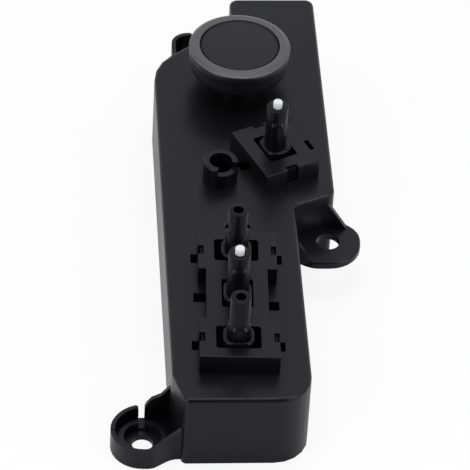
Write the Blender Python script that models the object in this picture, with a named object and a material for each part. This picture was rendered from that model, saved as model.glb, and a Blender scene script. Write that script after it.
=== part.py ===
"""Power seat switch: a moulded housing with four lever stalks and a round lumbar knob.

Lengths are in millimetres and are turned into metres where a mesh is made. The origin is on the
underside, below the lumbar knob's axis. +X is to the right, +Y runs along the housing to its far end.
"""
import math

import bmesh
import bpy
from mathutils import Matrix, Vector

MM = 0.001
NAME = "power_seat_switch"

# Fits between separate pieces
GAP = 0.3
PIVOT_GAP = 0.35
CUT_OVER = 1.0

# Housing body
BODY_HEIGHT = 24.5
BODY_WALL = 1.8
BODY_TOP_ROUND = 1.2
LEFT_X = -25.2
NARROW_X = 13.6
WIDE_X = 25.7
NEAR_Y = -137.65
FAR_Y = 40.45
STEP_INNER_Y = -56.4
STEP_OUTER_Y = -51.2
TAIL_X = -0.45
TAIL_Y = 28.8
BEVELLED_CORNER_Y = 8.6
SLANT_ALONG = 11.6
SLANT_ACROSS = 3.2
SLANT_ROUND = 4.0
NEAR_LEFT_ROUND = 1.6
NEAR_RIGHT_ROUND = 10.1
FAR_ROUND = 2.6
LEFT_ROUND = 15.0
STEP_ROUND = 3.0
INNER_ROUND = 1.6

# Turrets over the stalks
TURRET_HEIGHT = 6.0
TURRET_WALL = 1.4
TURRET_TOP = 1.6
TURRET_ROUND = 0.35
MODULE_LENGTH = 22.4
MODULE_WIDTH = 17.5
END_WIDTH = 15.8
END_SHIFT = 0.3
ROW_PITCH = 18.0
ROW_TURN = -2.0
WINDOW_WIDTH = 3.6
WINDOW_SILL = 1.2
SLOT_REACH = 1.7
SLOT_LENGTH = 3.7
LONG_SLOT_REACH = 3.2
FAR_SLOT_X = 12.4
FAR_SLOT_REACH = 2.4
FAR_SLOT_LENGTH = 4.4
SLOT_BITE = 0.2

# Stalks
SIDE_TILT = 8.0
FORE_TILT = 5.5
PIVOT_DROP = 10.5
STALK_RISE = 15.3
STALK_LIT_R = 3.15
STALK_BLIND_R = 2.85
STALK_BASE_R = 3.25
STALK_BEAD = 1.3
FOOT_ACROSS = 8.0
FOOT_ALONG = 8.8
FOOT_RISE = 1.0
FOOT_DEPTH = 5.0
FOOT_RECESS = 2.2
FOOT_WALL = 1.1
TRUNNION_R = 1.2
TRUNNION_GRIP = 1.4
GUIDE_R = 1.35
GUIDE_RISE = 2.0
BLIND_R = 1.5
BLIND_DEPTH = 9.0
WING_REACH = 5.5
WING_DROP = 6.4
WING_PAD = 1.2
WING_THICK = 1.6

# Carriers under the turrets
CARRIER_WALL = 1.5
CARRIER_CLEAR = 3.5
HOOK_DROP = 0.5
HOOK_THICK = 0.65

# Round boss beside the turret
BOSS_X = -7.7
BOSS_Y = -44.3
BOSS_R = 5.1
BOSS_BORE = 3.35
BOSS_RISE = 6.6
BOSS_LOW_RISE = 4.7
BOSS_LOW_ANGLES = (-104.0, -12.0)

# Screwed ears
EAR_WALL = 1.25
EAR_BORE = 3.0
SEAT_R = 5.4
CUP_X = -33.0
CUP_Y = -130.6
CUP_R = 9.0
CUP_RIM = 7.4
CUP_NEAR_RIM = 6.6
CUP_FLOOR = 2.9
CUP_SEAT = 1.6
CUP_BORE_Y = -131.1
TUBE_R = 6.7
TUBE_BORE = 5.3
TUBE_TOP = 4.4
CUP_SLOT = 1.7
CUP_SLOT_FLOOR = 2.2
RIM_END = 0.9
CUP_BACK_TOP = 15.1
CUP_FRONT_TOP = 13.4
PLATE_X = 23.85
PLATE_Y = -58.8
PLATE_R = 9.55
PLATE_TOP = 12.0
PLATE_THICK = 2.1
PLATE_BORE = 3.4
PLATE_NEAR_ROUND = 8.0
PLATE_SIDE_ROUND = 7.0
PLATE_SHOULDER = 5.2
GUSSET_TOP = 20.0
GUSSET_THICK = 1.5
REAR_LEFT_X = -18.35
REAR_FAR_Y = 37.8
REAR_ROUND = 5.2
REAR_RIM = 13.0
REAR_FLOOR = 5.0
REAR_SEAT = 2.8
REAR_SLOT_X = -10.7

# Lumbar knob
KNOB_R = 15.25
KNOB_SIDE_R = 15.0
KNOB_CLEAR = 6.0
KNOB_BODY = 7.0
KNOB_WALL = 1.6
RING_INNER_R = 12.05
RING_FLAT = 1.9
RING_SLIT = 0.45
RING_THICK = 1.0
RING_DROP = 0.7
DISC_THICK = 0.7
KNOB_TILT = 6.0
KNOB_PIVOT_DROP = 6.0
STEM_R = 3.0
STEM_SOCKET_WALL = 1.6
STEM_GRIP = 4.5
COLLAR_R = 8.6
COLLAR_WALL = 1.5
COLLAR_RISE = 3.4
MARK_WIDTH = 3.0
MARK_DEPTH = 1.8
MARK_X = 0.4
MARK_OUT = 0.65
HUB_R = 5.2
RING_GAP = 0.6
GIMBAL_R = 8.6
GIMBAL_THICK = 4.0
KNOB_CARRIER = 12.2
KNOB_CARRIER_WALL = 2.2
KNOB_WING_DROP = 5.0

# Base cover, board, contact mat and connector
COVER_THICK = 1.6
COVER_RIM = 2.2
COVER_RIM_WALL = 1.2
POST_R = 2.0
BOARD_Z = 6.0
BOARD_THICK = 1.6
BOARD_EDGE = 1.5
MAT_THICK = 1.2
MAT_EDGE = 2.0
DOME_R = 2.2
DOME_TIP_R = 1.3
LAMP_SIZE = 2.2
LAMP_HEIGHT = 1.7
SCREW_HEAD_R = 2.6
SCREW_HEAD = 1.6
SCREW_R = 1.2
SCREW_GRIP = 8.0
SCREW_BOSS_R = 3.1
SCREW_WELL_R = 4.2
SCREW_WELL = 2.4
SCREW_WELL_FLOOR = 1.2
CORNER_SHIFT = 1.3
SLANT_SHIFT = 2.0
PLUG_Y = 23.5
PLUG_LENGTH = 21.4
PLUG_DEPTH = 13.0
PLUG_HEIGHT = 10.4
PLUG_WALL = 1.2
PIN_ROWS = 2
PIN_COLUMNS = 8
PIN_PITCH = 2.1
PIN_SIZE = 0.7
PIN_REACH = 6.5
PIN_BAR = 1.4

FINE = 32
MEDIUM = 24
COARSE = 12

TURRET_TOP_Z = BODY_HEIGHT + TURRET_HEIGHT
PIVOT_Z = TURRET_TOP_Z - PIVOT_DROP
KNOB_PIVOT = BODY_HEIGHT - KNOB_PIVOT_DROP
STALK_TOP_Z = TURRET_TOP_Z + STALK_RISE
FOOT_TOP_Z = TURRET_TOP_Z + FOOT_RISE
KNOB_SWING = math.sin(math.radians(KNOB_TILT))
WING_TIP = WING_REACH + WING_PAD
KNOB_DOME_TOP_Z = KNOB_PIVOT - KNOB_WING_DROP - WING_TIP * KNOB_SWING - 2 * GAP
OPENING_ACROSS = FOOT_ACROSS + 2 * GAP + 0.3
BOARD_TOP_Z = BOARD_Z + BOARD_THICK
MAT_Z = BOARD_TOP_Z + GAP
MAT_TOP_Z = MAT_Z + MAT_THICK
CARRIER_BOTTOM = MAT_TOP_Z + CARRIER_CLEAR
KNOB_BOTTOM_Z = BODY_HEIGHT + KNOB_CLEAR
KNOB_DECK_Z = KNOB_BOTTOM_Z + KNOB_BODY
STEM_SOCKET_R = STEM_R + GAP + STEM_SOCKET_WALL

# Each stalk: place, turn of its turret, whether it swings along the housing, shoulder height, lit or not
ROW_X = -5.9
ROW_Y = -100.7
STALKS = {
    "a": {"x": 8.7, "y": -37.3, "turn": 25.0, "fore_aft": True, "shoulder": 40.0, "lit": True},
    "b": {"row": 1, "turn": ROW_TURN, "fore_aft": False, "shoulder": 38.2, "lit": False},
    "c": {"row": 0, "turn": ROW_TURN, "fore_aft": True, "shoulder": 41.0, "lit": True},
    "d": {"row": -1, "turn": ROW_TURN, "fore_aft": False, "shoulder": 35.6, "lit": False},
}

# Cover screws stand a well's radius in from the walls, and board posts between them
SCREW_SIDE = BODY_WALL + GAP + SCREW_WELL_R
SCREW_PLACES = [
    (LEFT_X + SCREW_SIDE + SLANT_SHIFT, NEAR_Y + SCREW_SIDE),
    (NARROW_X - SCREW_SIDE - CORNER_SHIFT, NEAR_Y + SCREW_SIDE + CORNER_SHIFT),
    (LEFT_X + SCREW_SIDE, -62.0), (WIDE_X - SCREW_SIDE, -16.0), (LEFT_X + SCREW_SIDE, -4.0),
    (TAIL_X + SCREW_SIDE, FAR_Y - SCREW_SIDE),
]
POST_PLACES = [(ROW_X, NEAR_Y + 7.0), (8.0, -90.0), (-19.0, -90.0), (-19.0, -30.0), (2.0, -60.0), (6.0, 20.0)]


def clear_scene():
    for thing in list(bpy.data.objects):
        bpy.data.objects.remove(thing)


def make_collection(name):
    group = bpy.data.collections.new(name)
    bpy.context.scene.collection.children.link(group)
    return group


def make_material(name, colour, roughness, metallic=0.0):
    material = bpy.data.materials.new(name)
    material.use_nodes = True
    shader = material.node_tree.nodes["Principled BSDF"]
    shader.inputs["Base Color"].default_value = (*colour, 1.0)
    shader.inputs["Roughness"].default_value = roughness
    shader.inputs["Metallic"].default_value = metallic
    material.diffuse_color = (*colour, 1.0)
    return material


clear_scene()
PARTS = make_collection(NAME)
CUTTERS = make_collection("cutters")


def add_object(name, mesh_builder, material=None):
    """A new object from a bmesh in millimetres. Without a material it is a cutter or a joined form."""
    mesh = bpy.data.meshes.new(name)
    bmesh.ops.scale(mesh_builder, vec=(MM, MM, MM), verts=mesh_builder.verts)
    bmesh.ops.recalc_face_normals(mesh_builder, faces=mesh_builder.faces)
    mesh_builder.to_mesh(mesh)
    mesh_builder.free()
    thing = bpy.data.objects.new(name, mesh)
    if material:
        mesh.materials.append(material)
        PARTS.objects.link(thing)
    else:
        thing.hide_render = True
        thing.display_type = "WIRE"
        CUTTERS.objects.link(thing)
    return thing


def boolean(thing, other, operation):
    step = thing.modifiers.new(f"{operation.lower()} {other.name}", "BOOLEAN")
    step.operation = operation
    step.solver = "EXACT"
    step.object = other


def cut(thing, *others):
    for other in others:
        boolean(thing, other, "DIFFERENCE")


def join(thing, *others):
    for other in others:
        boolean(thing, other, "UNION")


def turned_point(x, y, centre, turn):
    """A point given beside a turned centre, in the housing's own axes."""
    angle = math.radians(turn)
    return (
        centre[0] + x * math.cos(angle) - y * math.sin(angle),
        centre[1] + x * math.sin(angle) + y * math.cos(angle),
    )


def rounded_outline(corners, inset=0.0, steps=5):
    """Points of a polygon given anticlockwise as (x, y, radius), each side moved in by the inset."""
    count = len(corners)
    moved = []
    for i in range(count):
        before, here, after = (Vector(corners[(i + k) % count][:2]) for k in (-1, 0, 1))
        way_in, way_out = (here - before).normalized(), (after - here).normalized()
        left_in, left_out = Vector((-way_in.y, way_in.x)), Vector((-way_out.y, way_out.x))
        turn = way_in.x * way_out.y - way_in.y * way_out.x
        shift = (left_in + left_out) * (inset / (1.0 + left_in.dot(left_out)))
        radius = corners[i][2]
        radius = max(radius - inset, 0.0) if turn > 0 else (radius + inset if radius else 0.0)
        moved.append((here + shift, way_in, way_out, radius))
    points = []
    for here, way_in, way_out, radius in moved:
        angle = math.atan2(way_in.x * way_out.y - way_in.y * way_out.x, way_in.dot(way_out))
        if radius < 0.05 or abs(angle) < 0.01:
            points.append(tuple(here))
            continue
        reach = radius * math.tan(abs(angle) / 2)
        start = here - way_in * reach
        side = 1.0 if angle > 0 else -1.0
        centre = start + Vector((-way_in.y, way_in.x)) * radius * side
        arm = start - centre
        arc_steps = max(2, round(steps * abs(angle) / (math.pi / 2)))
        for k in range(arc_steps + 1):
            bend = angle * k / arc_steps
            points.append((
                centre.x + arm.x * math.cos(bend) - arm.y * math.sin(bend),
                centre.y + arm.x * math.sin(bend) + arm.y * math.cos(bend),
            ))
    return points


def prism(name, points, bottom, top, material=None, top_round=0.0, segments=1):
    """An outline raised from one height to another, with its top edge rounded if asked."""
    builder = bmesh.new()
    floor = builder.faces.new([builder.verts.new((x, y, bottom)) for x, y in points])
    raised = bmesh.ops.extrude_face_region(builder, geom=[floor])
    roof_verts = [item for item in raised["geom"] if isinstance(item, bmesh.types.BMVert)]
    bmesh.ops.translate(builder, vec=(0, 0, top - bottom), verts=roof_verts)
    if top_round:
        roof = [e for e in builder.edges if all(abs(v.co.z - top) < 1e-4 for v in e.verts)]
        bmesh.ops.bevel(
            builder, geom=roof, offset=top_round, segments=segments, profile=0.5, affect="EDGES",
            clamp_overlap=True, material=-1,
        )
    return add_object(name, builder, material)


def box(name, size, centre, turn=0.0, material=None, edge=0.0):
    """A box by its size and centre, turned about its own upright axis, with bevelled upper edges."""
    builder = bmesh.new()
    bmesh.ops.create_cube(builder, size=1.0)
    bmesh.ops.scale(builder, vec=size, verts=builder.verts)
    if edge:
        top = size[2] / 2
        upper = [e for e in builder.edges if all(abs(v.co.z - top) < 1e-4 for v in e.verts)]
        bmesh.ops.bevel(
            builder, geom=upper, offset=edge, segments=2, profile=0.5, affect="EDGES", material=-1,
        )
    spin = Matrix.Rotation(math.radians(turn), 4, "Z")
    bmesh.ops.transform(builder, matrix=Matrix.Translation(centre) @ spin, verts=builder.verts)
    return add_object(name, builder, material)


def round_bar(name, radius, start, end, material=None, sides=MEDIUM, end_radius=None):
    """A cylinder or cone between two points."""
    start, end = Vector(start), Vector(end)
    builder = bmesh.new()
    bmesh.ops.create_cone(
        builder, cap_ends=True, segments=sides, radius1=radius,
        radius2=radius if end_radius is None else end_radius, depth=(end - start).length,
    )
    aim = Vector((0, 0, 1)).rotation_difference(end - start).to_matrix().to_4x4()
    bmesh.ops.transform(
        builder, matrix=Matrix.Translation((start + end) / 2) @ aim, verts=builder.verts,
    )
    return add_object(name, builder, material)


def turned(name, profile, centre=(0.0, 0.0), material=None, sides=FINE):
    """A closed section (radius, height), listed down its outer side, spun about an upright axis."""
    builder = bmesh.new()
    verts = [builder.verts.new((r, 0.0, z)) for r, z in profile]
    for k, vert in enumerate(verts):
        following = verts[(k + 1) % len(verts)]
        if not (vert.co.x < 1e-6 and following.co.x < 1e-6):
            builder.edges.new((vert, following))
    bmesh.ops.spin(
        builder, geom=builder.verts[:] + builder.edges[:], cent=(0, 0, 0), axis=(0, 0, 1),
        angle=2 * math.pi, steps=sides, use_merge=True,
    )
    bmesh.ops.remove_doubles(builder, verts=builder.verts, dist=1e-3)
    bmesh.ops.translate(builder, vec=(*centre, 0.0), verts=builder.verts)
    return add_object(name, builder, material)


def ramp(name, start, end, low, high, thickness):
    """An upright rib that slopes from its high end at start down to its low end, with a flat foot."""
    start, end = Vector(start), Vector(end)
    run = (end - start).length
    way = (end - start).normalized()
    across = Vector((-way.y, way.x)) * thickness / 2
    section = [(0.0, low - 1.0), (run, low - 1.0), (run, low + 0.2), (0.0, high)]
    builder = bmesh.new()
    side = builder.faces.new([
        builder.verts.new((*(start + way * u - across), z)) for u, z in section
    ])
    raised = bmesh.ops.extrude_face_region(builder, geom=[side])
    moved = [item for item in raised["geom"] if isinstance(item, bmesh.types.BMVert)]
    bmesh.ops.translate(builder, vec=(2 * across.x, 2 * across.y, 0), verts=moved)
    return add_object(name, builder)


def upper_profile_cutter(name, line, low_y, high_y):
    """Everything above a line of (x, z) points, between two y values."""
    roof = CUP_BACK_TOP + 2 * CUT_OVER
    section = line + [(line[-1][0], roof), (line[0][0], roof)]
    builder = bmesh.new()
    side = builder.faces.new([builder.verts.new((x, low_y, z)) for x, z in section])
    raised = bmesh.ops.extrude_face_region(builder, geom=[side])
    moved = [item for item in raised["geom"] if isinstance(item, bmesh.types.BMVert)]
    bmesh.ops.translate(builder, vec=(0, high_y - low_y, 0), verts=moved)
    return add_object(name, builder)


def set_origin(thing, point):
    """Moves an object's own origin to a point in millimetres, with its form left where it is."""
    place = Matrix.Translation(Vector(point) * MM)
    thing.data.transform(place.inverted())
    thing.matrix_world = place


def smooth(thing, angle=35.0):
    thing.data.shade_smooth()
    thing.data.set_sharp_from_angle(angle=math.radians(angle))


def stalk_centre(key):
    """A stalk's axis in plan."""
    values = STALKS[key]
    if "row" in values:
        return turned_point(0.0, values["row"] * ROW_PITCH, (ROW_X, ROW_Y), ROW_TURN)
    return (values["x"], values["y"])


def block_centre(key):
    """The middle of a stalk's turret. The row's two end blocks stand a little to the right."""
    values = STALKS[key]
    if values.get("row"):
        return turned_point(END_SHIFT, values["row"] * ROW_PITCH, (ROW_X, ROW_Y), ROW_TURN)
    return stalk_centre(key)


def swing(key):
    """The share of its height that a stalk moves by at the end of its swing."""
    return math.sin(math.radians(FORE_TILT if STALKS[key]["fore_aft"] else SIDE_TILT))


def swing_turn(key):
    """The turn that lays the local Y axis along a stalk's swing."""
    return STALKS[key]["turn"] + (0.0 if STALKS[key]["fore_aft"] else 90.0)


def body_corners():
    """The housing's outline, anticlockwise from the slanted wall at its near left corner."""
    return [
        (LEFT_X, NEAR_Y + SLANT_ALONG, SLANT_ROUND),
        (LEFT_X + SLANT_ACROSS, NEAR_Y, NEAR_LEFT_ROUND),
        (NARROW_X, NEAR_Y, NEAR_RIGHT_ROUND),
        (NARROW_X, STEP_INNER_Y, INNER_ROUND),
        (WIDE_X, STEP_OUTER_Y, STEP_ROUND),
        (WIDE_X, FAR_Y, FAR_ROUND),
        (TAIL_X, FAR_Y, FAR_ROUND),
        (TAIL_X, TAIL_Y, INNER_ROUND),
        (LEFT_X, BEVELLED_CORNER_Y, LEFT_ROUND),
    ]


def module_size(key):
    """A turret's size across and along its own turned axes."""
    if STALKS[key]["fore_aft"]:
        return MODULE_WIDTH, MODULE_LENGTH
    return MODULE_LENGTH, END_WIDTH


def turret_blocks():
    """Raised blocks over the four stalks. The row's three overlap and become one long turret."""
    blocks = []
    for key in STALKS:
        across, along = module_size(key)
        height = TURRET_HEIGHT + CUT_OVER
        block = box(
            f"turret_{key}", (across, along, height),
            (*block_centre(key), TURRET_TOP_Z - height / 2), STALKS[key]["turn"], edge=TURRET_ROUND,
        )
        blocks.append(block)
    return blocks


def turret_hollows():
    """The rooms inside the turrets, with the openings that the stalks stand in."""
    hollows = []
    low = BODY_HEIGHT - BODY_WALL - CUT_OVER
    for key in STALKS:
        across, along = module_size(key)
        high = TURRET_TOP_Z - TURRET_TOP
        place, turn = stalk_centre(key), STALKS[key]["turn"]
        hollows.append(box(
            f"turret_hollow_{key}", (across - 2 * TURRET_WALL, along - 2 * TURRET_WALL, high - low),
            (*block_centre(key), (high + low) / 2), turn,
        ))
        half = OPENING_ACROSS / 2
        reach = FOOT_ALONG / 2 + (FOOT_TOP_Z - PIVOT_Z) * swing(key) + GAP
        corners = [
            (*turned_point(x, y, place, swing_turn(key)), 0.8)
            for x, y in ((-half, -reach), (half, -reach), (half, reach), (-half, reach))
        ]
        hollows.append(prism(
            f"stalk_opening_{key}", rounded_outline(corners, steps=3),
            high - CUT_OVER, TURRET_TOP_Z + CUT_OVER,
        ))
    return hollows


def latch_windows():
    """Windows in the turrets' short walls for the carriers' hooks, open at the top edge."""
    windows = []
    sill = BODY_HEIGHT + WINDOW_SILL
    height = TURRET_TOP_Z + CUT_OVER - sill
    for key in STALKS:
        place, turn = block_centre(key), STALKS[key]["turn"]
        lengthwise = STALKS[key]["fore_aft"]
        sides = (-1, 1) if key != "c" else ()
        for side in sides:
            reach = side * (MODULE_LENGTH / 2 - TURRET_WALL / 2)
            spot = (0.0, reach) if lengthwise else (reach, 0.0)
            size = (WINDOW_WIDTH, TURRET_WALL + 0.4) if lengthwise else (TURRET_WALL + 0.4, WINDOW_WIDTH)
            windows.append(box(
                f"window_{key}_{side}", (*size, height),
                (*turned_point(*spot, place, turn), sill + height / 2), turn,
            ))
    return windows


def face_slots():
    """Slots in the top face beside the turrets' walls."""
    slots = []

    def slot(key, x, y, reach, length=SLOT_LENGTH):
        place = turned_point(x, y, block_centre(key), STALKS[key]["turn"])
        height = BODY_WALL + 2 * CUT_OVER
        slots.append(box(
            f"slot_{key}_{len(slots)}", (reach + 2 * SLOT_BITE, length, height),
            (*place, BODY_HEIGHT - BODY_WALL / 2), STALKS[key]["turn"],
        ))

    for key in ("b", "d"):
        for side in (-1, 1):
            slot(key, side * (MODULE_LENGTH + SLOT_REACH) / 2, 2.6, SLOT_REACH)
    slot("c", -(MODULE_WIDTH + LONG_SLOT_REACH) / 2, 4.2, LONG_SLOT_REACH)
    slot("c", (MODULE_WIDTH + LONG_SLOT_REACH) / 2, 1.2, LONG_SLOT_REACH)
    slot("a", -(MODULE_WIDTH + SLOT_REACH) / 2, 2.2, SLOT_REACH)
    slot("a", FAR_SLOT_X, 2.3, FAR_SLOT_REACH, FAR_SLOT_LENGTH)
    return slots


def cup_outline(inset=0.0):
    """The front ear seen from above: a half round cup with a waisted neck into the housing."""
    near, far = CUP_Y - CUP_R, CUP_Y + CUP_R
    left, inside = CUP_X - CUP_R, LEFT_X + 6.0
    corners = [
        (left, far, CUP_R), (left, near, CUP_R), (CUP_X + 2.6, near, 4.0),
        (LEFT_X + 2.5, near + 5.1, 6.0), (inside, NEAR_Y + 0.35, 0.0), (inside, far, 0.0),
    ]
    return rounded_outline(corners, inset, steps=8)


def front_ear():
    """The cup ear at the near left corner, with a raised wall that climbs to the housing."""
    ear = prism("ear_front", cup_outline(), 0.0, CUP_BACK_TOP)
    near, far = CUP_Y - CUP_R - CUT_OVER, CUP_Y + CUP_R + CUT_OVER
    left, right = CUP_X - CUP_R - CUT_OVER, LEFT_X + 7.0
    slot_left = CUP_X - CUP_SLOT / 2
    back_line = [
        (left, CUP_NEAR_RIM), (slot_left - RIM_END, CUP_RIM),
        (slot_left - 0.3 * RIM_END, CUP_RIM - 0.3 * RIM_END), (slot_left, CUP_RIM - RIM_END),
        (CUP_X, CUP_RIM - RIM_END), (CUP_X + 0.8, CUP_RIM), (CUP_X + 1.4, CUP_RIM + 1.3),
        (CUP_X + 2.7, CUP_RIM + 3.1), (CUP_X + 5.3, CUP_RIM + 4.5), (CUP_X + 6.6, CUP_RIM + 6.2),
        (LEFT_X, CUP_BACK_TOP), (right, CUP_BACK_TOP),
    ]
    front_line = [
        (left, CUP_NEAR_RIM), (CUP_X + 1.0, CUP_NEAR_RIM), (CUP_X + 6.0, CUP_NEAR_RIM + 1.7),
        (LEFT_X + 1.2, CUP_NEAR_RIM + 3.4), (LEFT_X + 4.5, CUP_FRONT_TOP), (right, CUP_FRONT_TOP),
    ]
    pocket = prism("ear_front_pocket", cup_outline(EAR_WALL), CUP_FLOOR, CUP_BACK_TOP + CUT_OVER)
    low, high = CUP_SEAT / 2, TUBE_TOP
    tube = round_bar(
        "ear_front_tube", TUBE_R, (CUP_X, CUP_BORE_Y, low), (CUP_X, CUP_BORE_Y, high), sides=FINE,
    )
    seat = round_bar(
        "ear_front_seat", TUBE_BORE, (CUP_X, CUP_BORE_Y, CUP_SEAT), (CUP_X, CUP_BORE_Y, CUP_RIM), sides=FINE,
    )
    bore = round_bar(
        "ear_front_bore", EAR_BORE, (CUP_X, CUP_BORE_Y, -CUT_OVER), (CUP_X, CUP_BORE_Y, CUP_RIM),
    )
    slot_near, slot_far = CUP_BORE_Y + TUBE_BORE - 0.5, CUP_Y + CUP_R + CUT_OVER
    slot = box(
        "ear_front_slot", (CUP_SLOT, slot_far - slot_near, CUP_BACK_TOP),
        (CUP_X, (slot_near + slot_far) / 2, CUP_SLOT_FLOOR + CUP_BACK_TOP / 2),
    )
    cut(
        ear, upper_profile_cutter("ear_front_back_line", back_line, CUP_Y, far),
        upper_profile_cutter("ear_front_front_line", front_line, near, CUP_Y + 0.01), pocket,
    )
    join(ear, tube)
    cut(ear, seat, bore, slot)
    return ear


def plate_ear():
    """The flat ear in the housing's step, braced by two sloping ribs."""
    near = PLATE_Y - PLATE_R
    right = PLATE_X + PLATE_R
    corners = [
        (NARROW_X - 1.0, STEP_INNER_Y + 4.0, 0.0), (NARROW_X - 1.0, near + 3.6, 0.0),
        (PLATE_X - PLATE_SHOULDER, near, PLATE_NEAR_ROUND), (right, near, PLATE_R),
        (right, PLATE_Y + 4.4, PLATE_SIDE_ROUND),
        (WIDE_X - 0.6, STEP_OUTER_Y + 4.6, 0.0),
    ]
    bottom = PLATE_TOP - PLATE_THICK
    ear = prism("ear_plate", rounded_outline(corners, steps=8), bottom, PLATE_TOP, top_round=0.3)
    right_rib = ramp(
        "ear_plate_rib_right", (WIDE_X - 3.4, STEP_OUTER_Y - 0.2),
        (PLATE_X + PLATE_SHOULDER + 0.6, PLATE_Y + 6.2),
        PLATE_TOP, BODY_HEIGHT - BODY_TOP_ROUND, GUSSET_THICK,
    )
    left_rib = ramp(
        "ear_plate_rib_left", (NARROW_X - 1.2, near + 2.2), (PLATE_X - 5.6, near + 1.5),
        PLATE_TOP, GUSSET_TOP + 1.4, GUSSET_THICK,
    )
    join(ear, right_rib, left_rib)
    bore = round_bar(
        "ear_plate_bore", PLATE_BORE, (PLATE_X, PLATE_Y, bottom - CUT_OVER),
        (PLATE_X, PLATE_Y, PLATE_TOP + CUT_OVER), sides=FINE,
    )
    cut(ear, bore)
    return ear


def rear_centre():
    return REAR_SLOT_X, REAR_FAR_Y - EAR_WALL - SEAT_R - 1.3


def rear_outline(inset=0.0):
    """The rear ear seen from above: a square pocket in the corner behind the bevelled side."""
    corners = [
        (REAR_LEFT_X, BEVELLED_CORNER_Y + 4.0, 0.0), (TAIL_X + 2.0, BEVELLED_CORNER_Y + 4.0, 0.0),
        (TAIL_X + 2.0, REAR_FAR_Y, 0.0), (REAR_LEFT_X, REAR_FAR_Y, REAR_ROUND),
    ]
    return rounded_outline(corners, inset, steps=6)


def rear_ear():
    x, y = rear_centre()
    ear = prism("ear_rear", rear_outline(), 0.0, REAR_RIM)
    pocket = prism("ear_rear_pocket", rear_outline(EAR_WALL), REAR_FLOOR, REAR_RIM + CUT_OVER)
    seat = round_bar("ear_rear_seat", SEAT_R, (x, y, REAR_SEAT), (x, y, REAR_RIM), sides=FINE)
    bore = round_bar("ear_rear_bore", EAR_BORE, (x, y, -CUT_OVER), (x, y, REAR_RIM))
    left, right = REAR_SLOT_X - CUP_SLOT / 2, REAR_SLOT_X + CUP_SLOT / 2
    slot = upper_profile_cutter("ear_rear_slot", [
        (left - RIM_END, REAR_RIM), (left - 0.3 * RIM_END, REAR_RIM - 0.3 * RIM_END),
        (left, REAR_RIM - RIM_END), (left, REAR_FLOOR), (right, REAR_FLOOR), (right, REAR_RIM - RIM_END),
        (right + 0.3 * RIM_END, REAR_RIM - 0.3 * RIM_END), (right + RIM_END, REAR_RIM),
    ], REAR_FAR_Y - 2 * EAR_WALL, REAR_FAR_Y + CUT_OVER)
    cut(ear, pocket, seat, bore, slot)
    return ear


def c_boss():
    """The round boss beside the turret, with one lower part. The housing's bore goes through it later."""
    top = BODY_HEIGHT + BOSS_RISE
    ring = turned("c_boss", [
        (0.0, top), (BOSS_R - 0.3, top), (BOSS_R, top - 0.3), (BOSS_R, BODY_HEIGHT - CUT_OVER),
        (0.0, BODY_HEIGHT - CUT_OVER),
    ], (BOSS_X, BOSS_Y), sides=FINE)
    start, end = BOSS_LOW_ANGLES
    reach = 2 * BOSS_R
    wedge = [(BOSS_X, BOSS_Y)] + [
        turned_point(reach, 0.0, (BOSS_X, BOSS_Y), start + (end - start) * k / 4) for k in range(5)
    ]
    cut(ring, prism("c_boss_low_part", wedge, BODY_HEIGHT + BOSS_LOW_RISE, top + CUT_OVER))
    return ring


def knob_collar():
    """The round guard that stands under the knob. The knob's hole goes through its middle later."""
    return round_bar(
        "knob_collar", COLLAR_R, (0, 0, BODY_HEIGHT - CUT_OVER), (0, 0, BODY_HEIGHT + COLLAR_RISE),
        sides=FINE,
    )


def screw_bosses():
    """Pillars for the cover screws, as (pillars, pilot holes)."""
    low = COVER_THICK + SCREW_WELL + GAP
    pillars = [
        round_bar(f"screw_boss_{n}", SCREW_BOSS_R, (x, y, low), (x, y, BODY_HEIGHT - BODY_WALL + 0.6),
                  sides=COARSE)
        for n, (x, y) in enumerate(SCREW_PLACES)
    ]
    pilots = [
        round_bar(f"screw_pilot_{n}", SCREW_R + GAP, (x, y, low - CUT_OVER), (x, y, low + SCREW_GRIP),
                  sides=COARSE)
        for n, (x, y) in enumerate(SCREW_PLACES)
    ]
    return pillars, pilots


def plug_window():
    """The notch in the right wall that the connector's mouth fills."""
    top = MAT_Z + PLUG_HEIGHT + GAP
    return box(
        "plug_window", (4 * BODY_WALL, PLUG_LENGTH + 2 * GAP, top + CUT_OVER),
        (WIDE_X - BODY_WALL / 2, PLUG_Y, (top - CUT_OVER) / 2),
    )


def index_mark():
    """The small raised triangle in front of the knob."""
    foot, half = -(KNOB_R + MARK_OUT), MARK_WIDTH / 2
    corners = [(MARK_X - half, foot), (MARK_X + half, foot), (MARK_X, foot + MARK_DEPTH)]
    return prism("index_mark", corners, BODY_HEIGHT - BODY_WALL / 2, BODY_HEIGHT + 0.25)


def upper_housing(material):
    """The whole moulding: shell, turrets, ears, split boss, collar, windows and screw pillars."""
    shell = prism(
        "upper_housing", rounded_outline(body_corners()), 0.0, BODY_HEIGHT, material,
        top_round=BODY_TOP_ROUND, segments=3,
    )
    join(shell, *turret_blocks(), front_ear(), plate_ear(), rear_ear(), index_mark())
    room = prism(
        "body_room", rounded_outline(body_corners(), BODY_WALL), -CUT_OVER, BODY_HEIGHT - BODY_WALL,
    )
    cut(shell, room)
    join(shell, c_boss(), knob_collar())
    pillars, pilots = screw_bosses()
    join(shell, *pillars)
    cut(shell, *pilots, *turret_hollows(), *latch_windows(), *face_slots(), plug_window())
    reach = BODY_HEIGHT + max(BOSS_RISE, COLLAR_RISE) + CUT_OVER
    low = BODY_HEIGHT - BODY_WALL - CUT_OVER
    cut(
        shell,
        round_bar("knob_hole", COLLAR_R - COLLAR_WALL, (0, 0, low), (0, 0, reach), sides=FINE),
        round_bar("c_boss_bore", BOSS_BORE, (BOSS_X, BOSS_Y, low), (BOSS_X, BOSS_Y, reach), sides=MEDIUM),
    )
    smooth(shell)
    return shell


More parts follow.
